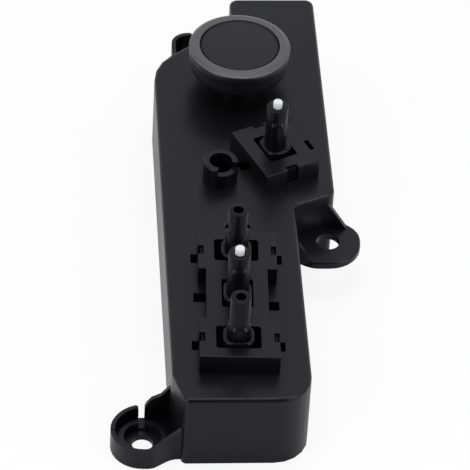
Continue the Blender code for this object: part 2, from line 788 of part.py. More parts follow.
def base_cover(material):
    """The flat cover under the housing, with an inner rim, board posts and screw wells."""
    edge = BODY_WALL + GAP
    rim_top = COVER_THICK + COVER_RIM
    cover = prism("base_cover", rounded_outline(body_corners(), edge), 0.0, rim_top, material)
    cut(cover, prism(
        "cover_room", rounded_outline(body_corners(), edge + COVER_RIM_WALL), COVER_THICK, rim_top + CUT_OVER,
    ))
    for n, (x, y) in enumerate(SCREW_PLACES):
        well_top = COVER_THICK + SCREW_WELL
        join(cover, round_bar(
            f"well_{n}", SCREW_WELL_R - GAP / 2, (x, y, COVER_THICK / 2), (x, y, well_top), sides=MEDIUM,
        ))
    seat = COVER_THICK + SCREW_WELL - SCREW_WELL_FLOOR
    for n, (x, y) in enumerate(SCREW_PLACES):
        cut(
            cover,
            round_bar(f"well_bore_{n}", SCREW_HEAD_R + GAP, (x, y, -CUT_OVER), (x, y, seat), sides=COARSE),
            round_bar(f"well_hole_{n}", SCREW_R + GAP, (x, y, 0), (x, y, 3 * seat), sides=COARSE),
        )
    for n, (x, y) in enumerate(POST_PLACES):
        join(cover, round_bar(
            f"post_{n}", POST_R, (x, y, COVER_THICK / 2), (x, y, BOARD_Z - GAP), sides=COARSE,
        ))
    sill_top = MAT_Z - GAP
    sill = box(
        "plug_sill", (BODY_WALL + edge, PLUG_LENGTH, sill_top),
        (WIDE_X - (BODY_WALL + edge) / 2, PLUG_Y, sill_top / 2),
    )
    join(cover, sill)
    return cover


def circuit_board(material):
    """The board on the cover's posts, cut round the screw pillars."""
    edge = BODY_WALL + GAP + COVER_RIM_WALL + BOARD_EDGE
    outline = rounded_outline(body_corners(), edge, steps=3)
    board = prism("circuit_board", outline, BOARD_Z, BOARD_TOP_Z, material)
    for n, (x, y) in enumerate(SCREW_PLACES):
        cut(board, round_bar(
            f"board_relief_{n}", SCREW_BOSS_R + 2 * GAP, (x, y, BOARD_Z - CUT_OVER),
            (x, y, BOARD_TOP_Z + CUT_OVER), sides=COARSE,
        ))
    return board


def dome_places():
    """Two domes under each stalk's wings and four under the knob's, as (x, y, top)."""
    places = []
    for key in STALKS:
        top = PIVOT_Z - WING_DROP - WING_TIP * swing(key) - GAP
        for side in (-1, 1):
            spot = turned_point(0.0, side * WING_REACH, stalk_centre(key), swing_turn(key))
            places.append((*spot, top))
    for k in range(4):
        places.append((*turned_point(WING_REACH, 0.0, (0.0, 0.0), 90.0 * k), KNOB_DOME_TOP_Z))
    return places


def contact_mat(material):
    """The rubber mat on the board, with a dome under each wing and holes over the lamps."""
    edge = BODY_WALL + GAP + COVER_RIM_WALL + BOARD_EDGE + MAT_EDGE
    mat = prism("contact_mat", rounded_outline(body_corners(), edge, steps=3), MAT_Z, MAT_TOP_Z, material)
    for n, (x, y, top) in enumerate(dome_places()):
        join(mat, round_bar(
            f"dome_{n}", DOME_R, (x, y, MAT_Z + MAT_THICK / 2), (x, y, top),
            sides=COARSE, end_radius=DOME_TIP_R,
        ))
    for n, (x, y) in enumerate(SCREW_PLACES):
        cut(mat, round_bar(
            f"mat_relief_{n}", SCREW_BOSS_R + 3 * GAP, (x, y, MAT_Z - CUT_OVER),
            (x, y, MAT_TOP_Z + CUT_OVER), sides=COARSE,
        ))
    for key in ("a", "c"):
        size = LAMP_SIZE + 2 * GAP
        cut(mat, box(
            f"lamp_hole_{key}", (size, size, 4 * MAT_THICK), (*stalk_centre(key), MAT_Z), STALKS[key]["turn"],
        ))
    reach = PLUG_DEPTH + 2 * GAP + PIN_BAR + 2.4
    cut(mat, box(
        "mat_plug_relief", (2 * reach, PLUG_LENGTH + 4 * GAP, 4 * MAT_THICK), (WIDE_X, PLUG_Y, MAT_Z),
    ))
    return mat


def lamp(key, material):
    """The lamp on the board below a lit stalk."""
    return box(
        f"lamp_{key}", (LAMP_SIZE, LAMP_SIZE, LAMP_HEIGHT),
        (*stalk_centre(key), BOARD_TOP_Z + GAP + LAMP_HEIGHT / 2), STALKS[key]["turn"], material,
    )


def carrier(key, material):
    """The frame that hangs in a turret and holds a stalk's trunnions, with two hooks in the windows."""
    across, along = module_size(key)
    place, turn = block_centre(key), STALKS[key]["turn"]
    outer = (across - 2 * (TURRET_WALL + GAP), along - 2 * (TURRET_WALL + GAP))
    top = TURRET_TOP_Z - TURRET_TOP - GAP
    height = top - CARRIER_BOTTOM
    frame = box(f"carrier_{key}", (*outer, height), (*place, CARRIER_BOTTOM + height / 2), turn, material)
    lengthwise = STALKS[key]["fore_aft"]
    room_along = MODULE_LENGTH - 2 * (TURRET_WALL + GAP + CARRIER_WALL)
    room_across = OPENING_ACROSS
    size = (room_across, room_along) if lengthwise else (room_along, room_across)
    if key != "c":
        for side in (-1, 1):
            reach = side * (MODULE_LENGTH / 2 - TURRET_WALL)
            spot = (0.0, reach) if lengthwise else (reach, 0.0)
            hook = (WINDOW_WIDTH - 2 * GAP, 1.6) if lengthwise else (1.6, WINDOW_WIDTH - 2 * GAP)
            join(frame, box(
                f"hook_{key}_{side}", (*hook, 1.3),
                (*turned_point(*spot, place, turn), BODY_HEIGHT + WINDOW_SILL + GAP + 0.65), turn,
            ))
            low, high = BODY_HEIGHT + WINDOW_SILL + 2 * GAP, TURRET_TOP_Z - HOOK_DROP
            reach += side * (HOOK_THICK / 2 + 0.1)
            spot = (0.0, reach) if lengthwise else (reach, 0.0)
            width = WINDOW_WIDTH - 3 * GAP
            tab = (width, HOOK_THICK) if lengthwise else (HOOK_THICK, width)
            join(frame, box(
                f"hook_tab_{key}_{side}", (*tab, high - low),
                (*turned_point(*spot, place, turn), (high + low) / 2), turn,
            ))
    cut(frame, box(f"carrier_room_{key}", (*size, 2 * height), (*place, CARRIER_BOTTOM + height / 2), turn))
    reach = room_across / 2 + TRUNNION_GRIP + GAP
    ends = [turned_point(side * reach, 0.0, stalk_centre(key), swing_turn(key)) for side in (-1, 1)]
    cut(frame, round_bar(
        f"trunnion_hole_{key}", TRUNNION_R + PIVOT_GAP, (*ends[0], PIVOT_Z), (*ends[1], PIVOT_Z),
        sides=COARSE,
    ))
    return frame


def stalk(key, material):
    """One lever: shaft, square foot in the turret's opening, trunnions, and wings over two domes."""
    values = STALKS[key]
    place, turn = stalk_centre(key), swing_turn(key)
    upper_r = STALK_LIT_R if values["lit"] else STALK_BLIND_R
    shoulder = values["shoulder"]
    lever = turned(f"stalk_{key}", [
        (0.0, STALK_TOP_Z), (upper_r - 0.4, STALK_TOP_Z), (upper_r, STALK_TOP_Z - 0.4),
        (upper_r, shoulder + 0.3), (STALK_BASE_R, shoulder - 0.3), (STALK_BASE_R, PIVOT_Z - 2.0),
        (0.0, PIVOT_Z - 2.0),
    ], place, material, sides=MEDIUM)
    foot = box(
        f"foot_{key}", (FOOT_ACROSS, FOOT_ALONG, FOOT_DEPTH),
        (*place, FOOT_TOP_Z - FOOT_DEPTH / 2), turn, edge=0.8,
    )
    if key != "a":
        inner = (FOOT_ACROSS - 2 * FOOT_WALL, FOOT_ALONG - 2 * FOOT_WALL, 2 * FOOT_RECESS)
        cut(foot, box(f"foot_recess_{key}", inner, (*place, FOOT_TOP_Z), turn))
    half = OPENING_ACROSS / 2 - PIVOT_GAP
    hub_ends = [turned_point(side * half, 0.0, place, turn) for side in (-1, 1)]
    hub = round_bar(f"hub_{key}", 2.6, (*hub_ends[0], PIVOT_Z), (*hub_ends[1], PIVOT_Z), sides=MEDIUM)
    reach = OPENING_ACROSS / 2 + TRUNNION_GRIP
    ends = [turned_point(side * reach, 0.0, place, turn) for side in (-1, 1)]
    trunnions = round_bar(
        f"trunnions_{key}", TRUNNION_R, (*ends[0], PIVOT_Z), (*ends[1], PIVOT_Z), sides=COARSE,
    )
    wing_z = PIVOT_Z - WING_DROP
    spine = box(f"spine_{key}", (3.4, 3.4, WING_DROP + 0.4), (*place, PIVOT_Z - WING_DROP / 2), turn)
    wings = box(
        f"wings_{key}", (3.0, 2 * WING_TIP, WING_THICK), (*place, wing_z + WING_THICK / 2), turn,
    )
    join(lever, foot, hub, trunnions, spine, wings)
    for side in (-1, 1):
        spot = (place[0] + side * 1.45, place[1] - (upper_r + STALK_BASE_R) / 2 + 0.5)
        join(lever, box(
            f"bead_{key}_{side}", (STALK_BEAD, STALK_BEAD, STALK_BEAD), (*spot, shoulder - 0.2), edge=0.3,
        ))
    if values["lit"]:
        bore = round_bar(
            f"guide_bore_{key}", GUIDE_R + GAP, (*place, wing_z - CUT_OVER), (*place, STALK_TOP_Z + CUT_OVER),
        )
    else:
        bore = round_bar(
            f"blind_bore_{key}", BLIND_R, (*place, STALK_TOP_Z - BLIND_DEPTH),
            (*place, STALK_TOP_Z + CUT_OVER),
        )
    cut(lever, bore)
    smooth(lever)
    set_origin(lever, (*place, PIVOT_Z))
    return lever


def light_guide(key, material):
    """The clear white rod through a lit stalk, domed where it stands out."""
    place = stalk_centre(key)
    tip = STALK_TOP_Z + GUIDE_RISE
    guide = turned(f"light_guide_{key}", [
        (0.0, tip), (GUIDE_R - 0.5, tip), (GUIDE_R - 0.15, tip - 0.15), (GUIDE_R, tip - 0.5),
        (GUIDE_R, PIVOT_Z - WING_DROP + GAP), (0.0, PIVOT_Z - WING_DROP + GAP),
    ], place, material, sides=MEDIUM)
    smooth(guide)
    set_origin(guide, (*place, PIVOT_Z))
    return guide


def knob_carrier(material):
    """The square frame under the knob that holds the gimbal's trunnions."""
    top = BODY_HEIGHT - BODY_WALL - GAP
    height = top - CARRIER_BOTTOM
    middle = CARRIER_BOTTOM + height / 2
    frame = box("knob_carrier", (2 * KNOB_CARRIER, 2 * KNOB_CARRIER, height), (0, 0, middle), 0.0, material)
    inner = KNOB_CARRIER - KNOB_CARRIER_WALL
    hole = TRUNNION_R + PIVOT_GAP
    cut(
        frame,
        box("knob_carrier_room", (2 * inner, 2 * inner, 2 * height), (0, 0, middle)),
        round_bar(
            "gimbal_holes", hole, (-(inner + 1.7), 0, KNOB_PIVOT), (inner + 1.7, 0, KNOB_PIVOT), sides=COARSE,
        ),
    )
    return frame


def knob_gimbal(material):
    """The ring that turns in the carrier and carries the knob's stem across it."""
    inner = HUB_R + RING_GAP
    low, high = KNOB_PIVOT - GIMBAL_THICK / 2, KNOB_PIVOT + GIMBAL_THICK / 2
    ring = turned("knob_gimbal", [(inner, high), (GIMBAL_R, high), (GIMBAL_R, low), (inner, low)],
                  material=material, sides=FINE)
    reach = KNOB_CARRIER - KNOB_CARRIER_WALL + TRUNNION_GRIP
    for side in (-1, 1):
        join(ring, round_bar(
            f"gimbal_trunnion_{side}", TRUNNION_R, (side * (inner + 0.8), 0, KNOB_PIVOT),
            (side * reach, 0, KNOB_PIVOT), sides=COARSE,
        ))
    cut(ring, round_bar(
        "stem_holes", TRUNNION_R + PIVOT_GAP, (0, -2 * GIMBAL_R, KNOB_PIVOT), (0, 2 * GIMBAL_R, KNOB_PIVOT),
        sides=COARSE,
    ))
    set_origin(ring, (0, 0, KNOB_PIVOT))
    return ring


def knob_stem(material):
    """The knob's post: round hub in the gimbal, cross of wings over four domes, and the shaft."""
    top = KNOB_DECK_Z - KNOB_WALL - GAP
    stem = turned("knob_stem", [
        (0.0, top), (STEM_R - 0.4, top), (STEM_R, top - 0.4), (STEM_R, KNOB_PIVOT + 3.6),
        (HUB_R, KNOB_PIVOT + 1.2), (HUB_R, KNOB_PIVOT - 1.2), (STEM_R, KNOB_PIVOT - 2.6),
        (0.0, KNOB_PIVOT - 2.6),
    ], material=material, sides=MEDIUM)
    join(stem, round_bar(
        "stem_trunnions", TRUNNION_R, (0, -(GIMBAL_R - GAP), KNOB_PIVOT), (0, GIMBAL_R - GAP, KNOB_PIVOT),
        sides=COARSE,
    ))
    length = 2 * WING_TIP
    wing_z = KNOB_PIVOT - KNOB_WING_DROP + WING_THICK / 2
    join(
        stem,
        box("stem_spine", (4.0, 4.0, KNOB_WING_DROP - 0.4), (0, 0, KNOB_PIVOT - KNOB_WING_DROP / 2)),
        box("stem_wings_x", (length, 3.0, WING_THICK), (0, 0, wing_z)),
        box("stem_wings_y", (3.0, length, WING_THICK), (0, 0, wing_z)),
    )
    smooth(stem)
    set_origin(stem, (0, 0, KNOB_PIVOT))
    return stem


def knob_skirt(material):
    """The knob's hollow tapered body with a socket for the stem."""
    deck, low = KNOB_DECK_Z, KNOB_BOTTOM_Z
    socket_low = deck - KNOB_WALL - STEM_GRIP
    skirt = turned("knob_skirt", [
        (0.0, deck), (KNOB_R - 0.5, deck), (KNOB_R - 0.1, deck - 0.5), (KNOB_R - 0.1, deck - 1.6),
        (KNOB_SIDE_R, deck - 2.4), (KNOB_SIDE_R - 0.1, low + 2.2), (KNOB_SIDE_R - 0.45, low + 0.8),
        (KNOB_SIDE_R - 1.1, low), (KNOB_SIDE_R - 0.3 - KNOB_WALL, low + 1.2),
        (KNOB_SIDE_R - 0.2 - KNOB_WALL, deck - KNOB_WALL), (STEM_SOCKET_R, deck - KNOB_WALL),
        (STEM_SOCKET_R, socket_low), (STEM_R + GAP, socket_low), (STEM_R + GAP, deck - KNOB_WALL),
        (0.0, deck - KNOB_WALL),
    ], material=material, sides=48)
    smooth(skirt)
    set_origin(skirt, (0, 0, KNOB_PIVOT))
    return skirt


def knob_ring(material):
    """The bright trim ring on the knob, stepped and sloped to its outer edge."""
    low = KNOB_DECK_Z + GAP
    high = low + RING_THICK
    ring = turned("knob_ring", [
        (RING_INNER_R, high), (RING_INNER_R + RING_FLAT, high), (KNOB_R - 0.2, high - RING_DROP),
        (KNOB_R, high - RING_DROP - 0.2), (KNOB_R - 0.1, low), (RING_INNER_R, low),
    ], material=material, sides=64)
    smooth(ring, 20)
    set_origin(ring, (0, 0, KNOB_PIVOT))
    return ring


def knob_disc(material):
    """The flat disc set into the ring."""
    low = KNOB_DECK_Z + GAP
    radius = RING_INNER_R - RING_SLIT
    disc = turned("knob_disc", [
        (0.0, low + DISC_THICK), (radius - 0.2, low + DISC_THICK), (radius, low + DISC_THICK - 0.2),
        (radius, low), (0.0, low),
    ], material=material, sides=64)
    smooth(disc, 20)
    set_origin(disc, (0, 0, KNOB_PIVOT))
    return disc


def connector_header(material):
    """The open socket in the right wall, with a solid back for the pins."""
    size = (PLUG_DEPTH, PLUG_LENGTH, PLUG_HEIGHT)
    centre = (WIDE_X - PLUG_DEPTH / 2, PLUG_Y, MAT_Z + PLUG_HEIGHT / 2)
    header = box("connector_header", size, centre, 0.0, material)
    room = (PLUG_DEPTH, PLUG_LENGTH - 2 * PLUG_WALL, PLUG_HEIGHT - 2 * PLUG_WALL)
    cut(header, box("connector_room", room, (centre[0] + 2 * PLUG_WALL, centre[1], centre[2])))
    hole = PIN_SIZE + 2 * GAP
    for row in range(PIN_ROWS):
        z = centre[2] + (row - (PIN_ROWS - 1) / 2) * PIN_PITCH
        width = (PIN_COLUMNS - 1) * PIN_PITCH + hole
        middle = (centre[0] - PLUG_DEPTH / 2, PLUG_Y, z)
        cut(header, box(f"pin_slot_{row}", (PLUG_DEPTH, width, hole), middle))
    return header


def terminal_strip(material):
    """The brass pins on one bar behind the socket."""
    back = WIDE_X - PLUG_DEPTH
    middle = MAT_Z + PLUG_HEIGHT / 2
    width = (PIN_COLUMNS - 1) * PIN_PITCH + PIN_SIZE
    height = (PIN_ROWS - 1) * PIN_PITCH + PIN_SIZE
    x = back - GAP - PIN_BAR / 2
    foot_low = BOARD_TOP_Z + GAP
    strip = box("terminal_strip", (PIN_BAR, width, middle + height / 2 - foot_low),
                (x, PLUG_Y, (middle + height / 2 + foot_low) / 2), 0.0, material)
    for row in range(PIN_ROWS):
        z = middle + (row - (PIN_ROWS - 1) / 2) * PIN_PITCH
        length = GAP + 2 * PLUG_WALL + PIN_REACH
        for column in range(PIN_COLUMNS):
            y = PLUG_Y + (column - (PIN_COLUMNS - 1) / 2) * PIN_PITCH
            join(strip, box(
                f"pin_{row}_{column}", (length + 0.4, PIN_SIZE * 0.9, PIN_SIZE * 0.9),
                (back - GAP - 0.4 + length / 2, y, z),
            ))
    return strip


def cover_screw(number, place, material):
    """A pan head screw up through the cover into a pillar."""
    seat = COVER_THICK + SCREW_WELL - SCREW_WELL_FLOOR - GAP
    return turned(f"cover_screw_{number}", [
        (0.0, seat + SCREW_GRIP), (SCREW_R - 0.5, seat + SCREW_GRIP), (SCREW_R, seat + SCREW_GRIP - 0.8),
        (SCREW_R, seat), (SCREW_HEAD_R, seat), (SCREW_HEAD_R, seat - SCREW_HEAD + 0.5),
        (SCREW_HEAD_R - 0.7, seat - SCREW_HEAD), (0.0, seat - SCREW_HEAD),
    ], place, material, sides=COARSE)


def build():
    black = make_material("black moulded plastic", (0.035, 0.035, 0.040), 0.55)
    dark = make_material("dark lever plastic", (0.028, 0.028, 0.032), 0.45)
    satin = make_material("satin grey ring", (0.14, 0.14, 0.15), 0.35, 0.6)
    disc = make_material("matte disc", (0.038, 0.037, 0.042), 0.6)
    inner = make_material("dark inner plastic", (0.045, 0.045, 0.048), 0.6)
    white = make_material("white light guide", (0.85, 0.85, 0.85), 0.3)
    green = make_material("dark green board", (0.008, 0.026, 0.014), 0.4)
    rubber = make_material("black rubber mat", (0.03, 0.03, 0.032), 0.75)
    brass = make_material("brass terminals", (0.55, 0.40, 0.14), 0.35, 1.0)
    steel = make_material("steel screws", (0.50, 0.50, 0.50), 0.35, 1.0)

    upper_housing(black)
    base_cover(black)
    circuit_board(green)
    contact_mat(rubber)
    for key in ("a", "c"):
        lamp(key, white)
        light_guide(key, white)
    for key in STALKS:
        carrier(key, inner)
        stalk(key, dark)
    knob_carrier(inner)
    knob_gimbal(inner)
    knob_stem(dark)
    knob_skirt(dark)
    knob_ring(satin)
    knob_disc(disc)
    connector_header(dark)
    terminal_strip(brass)
    for number, place in enumerate(SCREW_PLACES, start=1):
        cover_screw(number, place, steel)


build()
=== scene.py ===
import math
import bmesh
import bpy
from mathutils import Matrix, Vector


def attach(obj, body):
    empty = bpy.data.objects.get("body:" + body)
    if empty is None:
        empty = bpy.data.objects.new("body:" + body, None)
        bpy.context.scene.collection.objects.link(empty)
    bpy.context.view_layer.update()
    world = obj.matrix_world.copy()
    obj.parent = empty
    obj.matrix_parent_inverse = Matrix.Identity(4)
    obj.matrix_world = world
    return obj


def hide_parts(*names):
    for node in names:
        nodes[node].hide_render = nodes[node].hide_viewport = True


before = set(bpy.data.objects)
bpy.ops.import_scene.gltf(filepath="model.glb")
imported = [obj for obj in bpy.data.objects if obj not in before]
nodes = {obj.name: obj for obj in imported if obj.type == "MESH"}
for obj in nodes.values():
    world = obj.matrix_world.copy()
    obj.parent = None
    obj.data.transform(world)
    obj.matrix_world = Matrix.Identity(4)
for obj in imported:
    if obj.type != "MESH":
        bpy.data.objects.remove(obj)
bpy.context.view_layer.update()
print("switch: frame loaded,", len(nodes), "nodes")


# lengths are written in millimetres: one of them in metres, or several as a place in metres
def metres(*lengths):
    scaled = [length / 1000.0 for length in lengths]
    return scaled if len(scaled) > 1 else scaled[0]


# noise scale for a feature of a real size in millimetres, on Object coordinates in metres
def perMetre(millimetres):
    return 1000.0 / millimetres


# sRGB hex to the linear values that shaders use
def linearColour(text):
    parts = [int(text[k:k + 2], 16) / 255 for k in (1, 3, 5)]
    return [c / 12.92 if c <= 0.04045 else ((c + 0.055) / 1.055) ** 2.4 for c in parts] + [1.0]


# one node, with its settings by attribute or input name, and the sockets that feed it
def addNode(tree, kind, settings=None, feeds=None):
    node = tree.nodes.new(kind)
    for name, value in (settings or {}).items():
        if isinstance(name, int) or name in node.inputs:
            node.inputs[name].default_value = value
        else:
            setattr(node, name, value)
    for name, socket in (feeds or {}).items():
        tree.links.new(socket, node.inputs[name])
    return node


# the gloss of black plastic is faintly blue, and a metal's keeps the metal's own colour
glossTints = {"plastic": "#f1f2ff", "metal": "#ffffff"}


def newFinish(name, roughness, metallic=0.0, ior=1.5, reflect=0.5):
    finish = bpy.data.materials.new(name)
    finish.use_nodes = True
    shader = finish.node_tree.nodes["Principled BSDF"]
    tint = glossTints["plastic" if metallic == 0.0 else "metal"]
    for socket, value in (("Roughness", roughness), ("Metallic", metallic), ("IOR", ior),
                          ("Specular IOR Level", reflect), ("Specular Tint", linearColour(tint))):
        shader.inputs[socket].default_value = value
    return finish, finish.node_tree, shader


# what the patterned finishes share: the part of the noise that shows, how far the roughness goes up and down
# with it, and the height of the grain in millimetres
pattern = {"low": 0.3, "high": 0.7, "glossSwing": 0.03, "grainHeight": 0.02}


# two near colours that drift over the piece, and a fine grain that lifts the surface
def grainedFinish(name, colours, roughness, grain, drift=38.0, lift=0.25, metallic=0.0, ior=1.5, reflect=0.5):
    finish, tree, shader = newFinish(name, roughness, metallic, ior, reflect)
    place = addNode(tree, "ShaderNodeTexCoord")
    slow = addNode(tree, "ShaderNodeTexNoise", {"Scale": perMetre(drift), "Detail": 3.0, "Roughness": 0.55},
                   {"Vector": place.outputs["Object"]})
    ramp = addNode(tree, "ShaderNodeValToRGB", feeds={"Fac": slow.outputs["Fac"]})
    for stop, share, colour in zip(ramp.color_ramp.elements, (pattern["low"], pattern["high"]), colours):
        stop.position, stop.color = share, linearColour(colour)
    tree.links.new(ramp.outputs["Color"], shader.inputs["Base Color"])
    gloss = addNode(tree, "ShaderNodeMapRange", {
        "From Min": pattern["low"], "From Max": pattern["high"],
        "To Min": roughness - pattern["glossSwing"], "To Max": roughness + pattern["glossSwing"],
    }, {"Value": slow.outputs["Fac"]})
    tree.links.new(gloss.outputs["Result"], shader.inputs["Roughness"])
    fine = addNode(tree, "ShaderNodeTexNoise", {"Scale": perMetre(grain), "Detail": 2.0, "Roughness": 0.6},
                   {"Vector": place.outputs["Object"]})
    bump = addNode(tree, "ShaderNodeBump", {"Strength": lift, "Distance": metres(pattern["grainHeight"])},
                   {"Height": fine.outputs["Fac"]})
    tree.links.new(bump.outputs["Normal"], shader.inputs["Normal"])
    return finish


# glass filled nylon, moulded in a spark eroded tool: an even dull black with a very fine sparkle
housingNylon = grainedFinish("housing moulded nylon", ("#0a0a0c", "#0d0d0f"), 0.32, 0.35, reflect=0.23)
# acetal levers: the same black with a closer, slicker skin
leverAcetal = grainedFinish("lever acetal", ("#09090b", "#0c0c0e"), 0.27, 0.3, drift=14.0, lift=0.12,
                            reflect=0.16)
# the knob's body, duller and a touch lighter than the levers
knobNylon = grainedFinish("knob moulded nylon", ("#121214", "#151518"), 0.4, 0.3, drift=16.0, lift=0.2,
                          reflect=0.27)
# plain nylon of the frames in the turrets, that only show as a dark depth in the slots
carrierNylon = grainedFinish("carrier nylon", ("#060607", "#08080a"), 0.6, 0.4, drift=12.0, reflect=0.08)
# acrylic diffuser, clouded white all through, so that it looks softly lit at its domed end
guideAcrylic = grainedFinish("light guide acrylic", ("#dcdde0", "#e2e3e5"), 0.3, 0.6, drift=6.0, lift=0.05,
                             ior=1.49)
# soft paint on the knob's disc, without gloss, a little lighter than the housing
discPaint = grainedFinish("disc soft paint", ("#121114", "#141316"), 0.55, 0.25, drift=20.0, lift=0.2,
                          reflect=0.27)
# black acetal of the parts that hold the knob, waxy and lost in the dark under it
innerAcetal = grainedFinish("inner acetal", ("#08080a", "#0b0b0d"), 0.5, 0.5, drift=10.0, lift=0.1, reflect=0.2)
# silicone contact mat, black and chalky
matSilicone = grainedFinish("mat silicone", ("#1d1d1f", "#232325"), 0.75, 0.4, drift=16.0, lift=0.2, reflect=0.2)
# rolled brass of the pins, faintly streaked
pinBrass = grainedFinish("pin brass", ("#c79f4e", "#d3ad5e"), 0.34, 0.15, drift=3.0, lift=0.1, metallic=1.0)
# zinc plated steel screws, grey blue and slightly cloudy
screwZinc = grainedFinish("screw zinc plate", ("#a9acb0", "#babdc0"), 0.36, 0.2, drift=3.0, lift=0.15,
                          metallic=1.0)
# lamp bodies, white moulded epoxy with a smooth skin
lampEpoxy = grainedFinish("lamp epoxy", ("#dcdcd6", "#e6e6e0"), 0.35, 0.3, drift=2.0, lift=0.05)


# solder mask over fibre glass: deep green, with the copper tracks under it as paler lines, sizes in millimetres
def boardMask():
    finish, tree, shader = newFinish("board solder mask", 0.32)
    place = addNode(tree, "ShaderNodeTexCoord")
    tracks = addNode(tree, "ShaderNodeTexBrick", {
        "Scale": perMetre(1.0), "Brick Width": 9.0, "Row Height": 2.4, "Mortar Size": 0.22, "Mortar Smooth": 0.1,
        "Color1": linearColour("#12261a"), "Color2": linearColour("#142a1d"), "Mortar": linearColour("#1f3c2a"),
    }, {"Vector": place.outputs["Object"]})
    tree.links.new(tracks.outputs["Color"], shader.inputs["Base Color"])
    return finish


greenMask = boardMask()
lacquer = {"colours": ("#4b4b4f", "#515156"), "ringSpacing": 0.3, "lift": 0.2}


# satin grey lacquer on a moulded ring, with the fine rings of its turning running round it
def ringLacquer():
    finish, tree, shader = newFinish("ring satin lacquer", 0.42, metallic=0.3)
    place = addNode(tree, "ShaderNodeTexCoord")
    flat = addNode(tree, "ShaderNodeVectorMath", {"operation": "MULTIPLY", 1: (1.0, 1.0, 0.0)},
                   {0: place.outputs["Object"]})
    radius = addNode(tree, "ShaderNodeVectorMath", {"operation": "LENGTH"}, {0: flat.outputs["Vector"]})
    rings = addNode(tree, "ShaderNodeTexNoise", {
        "noise_dimensions": "1D", "Scale": perMetre(lacquer["ringSpacing"]), "Detail": 2.0,
    }, {"W": radius.outputs["Value"]})
    ramp = addNode(tree, "ShaderNodeValToRGB", feeds={"Fac": rings.outputs["Fac"]})
    for stop, share, colour in zip(ramp.color_ramp.elements, (pattern["low"], pattern["high"]), lacquer["colours"]):
        stop.position, stop.color = share, linearColour(colour)
    tree.links.new(ramp.outputs["Color"], shader.inputs["Base Color"])
    bump = addNode(tree, "ShaderNodeBump", {"Strength": lacquer["lift"], "Distance": metres(pattern["grainHeight"])},
                   {"Height": rings.outputs["Fac"]})
    tree.links.new(bump.outputs["Normal"], shader.inputs["Normal"])
    return finish


satinLacquer = ringLacquer()

nodeFinishes = {
    "upper_housing": housingNylon, "base_cover": housingNylon, "connector_header": housingNylon,
    "circuit_board": greenMask, "contact_mat": matSilicone, "terminal_strip": pinBrass,
    "lamp_a": lampEpoxy, "lamp_c": lampEpoxy, "light_guide_a": guideAcrylic, "light_guide_c": guideAcrylic,
    "knob_carrier": innerAcetal, "knob_gimbal": innerAcetal, "knob_stem": leverAcetal,
    "knob_skirt": knobNylon, "knob_ring": satinLacquer, "knob_disc": discPaint,
}
for key in "abcd":
    nodeFinishes["carrier_" + key] = carrierNylon
    nodeFinishes["stalk_" + key] = leverAcetal
for number in range(1, 7):
    nodeFinishes["cover_screw_%d" % number] = screwZinc


def dress(thing, finish):
    thing.data.materials.clear()
    thing.data.materials.append(finish)


for name, finish in nodeFinishes.items():
    dress(nodes[name], finish)
print("switch: finishes made and given to the nodes")


# a shape handed over as a smoothly shaded mesh, without the CAD's own normals, which no longer fit it
def finishedMesh(shape, name, sharpFrom=None):
    mesh = bpy.data.meshes.new(name)
    shape.to_mesh(mesh)
    shape.free()
    if "custom_normal" in mesh.attributes:
        mesh.attributes.remove(mesh.attributes["custom_normal"])
    if sharpFrom:
        mesh.set_sharp_from_angle(angle=math.radians(sharpFrom))
    for face in mesh.polygons:
        face.use_smooth = True
    return mesh


# a finished mesh on a body, in the place of a CAD node
def placePiece(name, mesh, body, finish, replaced):
    piece = bpy.data.objects.new(name, mesh)
    bpy.context.scene.collection.objects.link(piece)
    dress(piece, finish)
    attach(piece, body)
    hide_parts(replaced)
    return piece


# distances in millimetres within which points are one: in a CAD node's loose triangles, and in a spun shape
weld = {"node": 0.004, "spun": 0.001}


# a copy of a node's mesh with its loose triangles joined
def joinedCopy(name):
    shape = bmesh.new()
    shape.from_mesh(nodes[name].data)
    bmesh.ops.remove_doubles(shape, verts=shape.verts, dist=metres(weld["node"]))
    return shape


# housing and cover: the small radius that the tool leaves on every edge, and the round on the turrets' top rims,
# which stand over a narrow chamfer, so that their edges are found by height and by the angle between their faces
mouldings = {
    "housingShell": {"node": "upper_housing", "radius": 0.22, "rimHeight": 30.5},
    "coverTray": {"node": "base_cover", "radius": 0.2, "rimHeight": None},
}
moulding = {"flatWithin": 0.6, "edgeAngle": 38.0, "segments": 2,
            "rimRadius": 0.4, "rimAngles": (0.6, 1.0), "rimReach": 0.02, "rimSegments": 3}


def roundRims(shape, height):
    least, most = moulding["rimAngles"]
    rims = [edge for edge in shape.edges if len(edge.link_faces) == 2 and least < edge.calc_face_angle() < most
            and all(abs(corner.co.z * 1000.0 - height) < moulding["rimReach"] for corner in edge.verts)]
    bmesh.ops.bevel(shape, geom=rims, offset=metres(moulding["rimRadius"]), offset_type="OFFSET",
                    segments=moulding["rimSegments"], profile=0.5, affect="EDGES", clamp_overlap=True, material=-1)


def makeMoulding(pieceName):
    values = mouldings[pieceName]
    shape = joinedCopy(values["node"])
    bmesh.ops.dissolve_limit(shape, angle_limit=math.radians(moulding["flatWithin"]), verts=shape.verts,
                             edges=shape.edges)
    if values["rimHeight"]:
        roundRims(shape, values["rimHeight"])
    piece = placePiece(pieceName, finishedMesh(shape, pieceName), "housing", housingNylon, values["node"])
    bevel = piece.modifiers.new("tool radius", "BEVEL")
    bevel.width = metres(values["radius"])
    bevel.segments = moulding["segments"]
    bevel.limit_method = "ANGLE"
    bevel.angle_limit = math.radians(moulding["edgeAngle"])
    bevel.use_clamp_overlap = True
    weights = piece.modifiers.new("flat faces", "WEIGHTED_NORMAL")
    weights.weight = 100
    weights.keep_sharp = True


for pieceName in mouldings:
    makeMoulding(pieceName)
print("switch: housing and cover softened")


